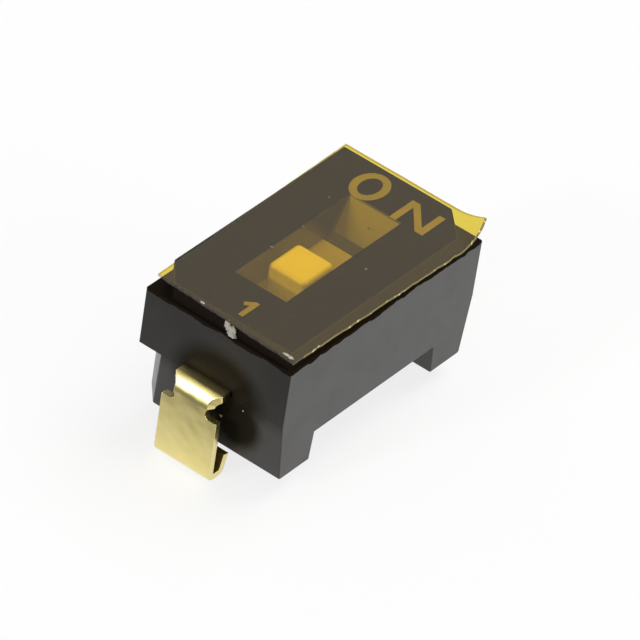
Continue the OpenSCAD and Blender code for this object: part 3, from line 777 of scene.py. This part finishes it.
see_through = node(tree, "ShaderNodeMath", "MULTIPLY", i0=clean_cut, i1=EDGE_CLEAR)
surface = body.outputs[0].links[0].to_socket
edge = node(tree, "ShaderNodeMixShader", i0=see_through, i1=body, i2=amber)
tree.links.new(edge.outputs[0], surface)

for material in (film_top, film_glue, film_edge):
    film.data.materials.append(material)
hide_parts("seal_tape")
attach(film, "housing")


# Dust and flash
# Fine dust is scattered by rule over the film's top, and a few pale grains of lint and adhesive are larger.
# A whitish scrap of moulding flash hangs on the front flank of the deck.
scatter = bpy.data.node_groups.new("dust_scatter", "GeometryNodeTree")
sockets = {}
for name, kind in (("Geometry", "NodeSocketGeometry"), ("Density", "NodeSocketFloat"),
                   ("Grain", "NodeSocketFloat"), ("Seed", "NodeSocketInt"),
                   ("Material", "NodeSocketMaterial")):
    sockets[name] = scatter.interface.new_socket(name, in_out="INPUT", socket_type=kind)
scatter.interface.new_socket("Geometry", in_out="OUTPUT", socket_type="NodeSocketGeometry")
given = node(scatter, "NodeGroupInput").outputs
points = node(scatter, "GeometryNodeDistributePointsOnFaces", Mesh=given["Geometry"],
              Density=given["Density"], Seed=given["Seed"])
ball = node(scatter, "GeometryNodeMeshIcoSphere", Radius=given["Grain"], Subdivisions=1)
size = node(scatter, "FunctionNodeRandomValue", settings={"data_type": "FLOAT_VECTOR"},
            i0=(0.4, 0.4, 0.3), i1=(1.3, 1.0, 0.6), Seed=given["Seed"])
turn = node(scatter, "FunctionNodeRandomValue", settings={"data_type": "FLOAT_VECTOR"},
            i0=(0, 0, 0), i1=(0, 0, 2 * math.pi), Seed=given["Seed"])
grains = node(scatter, "GeometryNodeInstanceOnPoints", Points=points.outputs["Points"],
              Instance=ball.outputs["Mesh"], Rotation=turn.outputs["Value"],
              Scale=size.outputs["Value"])
whole = node(scatter, "GeometryNodeRealizeInstances", Geometry=grains.outputs["Instances"])
painted = node(scatter, "GeometryNodeSetMaterial", Geometry=whole.outputs["Geometry"],
               Material=given["Material"])
node(scatter, "NodeGroupOutput", Geometry=painted.outputs["Geometry"])

# Lint and old adhesive are dry and matt, grey-brown on the film and paler past the deck's front edge.
dust_paint, tree, body, where, colour = textured(
    "pale_lint_and_adhesive", "#736b58", "#5f594a", roughness=0.8, spread=0.05, grain=0.01, bump=0.3)
at_end = below(tree, node(tree, "ShaderNodeSeparateXYZ", Vector=where).outputs["Y"], -DECK_HALF_Y)
paler = node(tree, "ShaderNodeMixRGB", i0=at_end, i1=colour, i2=rgba("#aaa59b"))
tree.links.new(paler.outputs[0], body.inputs["Base Color"])

DUST_AREA = ((-1.3, -2.6), (1.65, -2.6), (1.65, 1.6), (1.1, 2.3), (-1.3, 2.3))
DUST_PER_SQUARE, DUST_R, DUST_SEED = 2.0, 0.009, 7
bm = bmesh.new()
bm.faces.new([bm.verts.new((x, y, FILM_TOP + 0.001)) for x, y in DUST_AREA])
dust = part_from(bm, "fine_dust")
rule = dust.modifiers.new("scatter", "NODES")
rule.node_group = scatter
for name, value in (("Density", DUST_PER_SQUARE), ("Grain", DUST_R), ("Seed", DUST_SEED),
                    ("Material", dust_paint)):
    rule[sockets[name].identifier] = value
dust = settle(dust)
dust.data.polygons.foreach_set("material_index", [0] * len(dust.data.polygons))
dress(dust, dust_paint)
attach(dust, "housing")

# Each grain's middle and half sizes: four on the film, one in the slot, one on the film's front edge,
# two on the end face, two on the film's near corner, and the three lumps of the scrap of flash.
GRAINS = (((-0.522, -0.661, FILM_TOP), (0.03, 0.02, 0.008)),
          ((-0.523, 0.203, FILM_TOP), (0.018, 0.018, 0.008)),
          ((0.976, 0.076, FILM_TOP), (0.018, 0.03, 0.008)),
          ((-0.725, 1.19, FILM_TOP), (0.02, 0.012, 0.008)),
          ((0.079, 1.355, 2.93), (0.02, 0.01, 0.02)),
          ((-0.37, -2.75, FILM_TOP), (0.04, 0.02, 0.012)),
          ((0.308, -2.7, 1.124), (0.03, 0.012, 0.018)),
          ((0.747, -2.7, 1.493), (0.012, 0.006, 0.02)),
          ((1.6, -2.79, FILM_TOP - 0.002), (0.07, 0.03, 0.008)),
          ((1.5, -2.78, FILM_TOP - 0.002), (0.06, 0.03, 0.008)),
          ((0.14, -2.65, 3.0), (0.055, 0.02, 0.12)),
          ((0.25, -2.66, 2.88), (0.095, 0.03, 0.14)),
          ((0.31, -2.655, 2.81), (0.05, 0.025, 0.08)))
LUMPS, ROUGHNESS, NEXT_LUMP = (1.3, 0.6), (3.1, 0.5), 5.1
bm = bmesh.new()
for k, (middle, half) in enumerate(GRAINS):
    for v in bmesh.ops.create_icosphere(bm, subdivisions=3, radius=1)["verts"]:
        lumpy = LUMPS[1] * noise.noise(v.co * LUMPS[0] + Vector((k * NEXT_LUMP, 0, 0)))
        rough = 1 + lumpy + ROUGHNESS[1] * noise.noise(v.co * ROUGHNESS[0])
        v.co = Vector(middle) + Vector((v.co.x * half[0], v.co.y * half[1], v.co.z * half[2])) * rough
grit = part_from(bm, "pale_flecks")
grit.data.transform(Matrix.Scale(MM, 4))
dress(grit, dust_paint)
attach(grit, "housing")
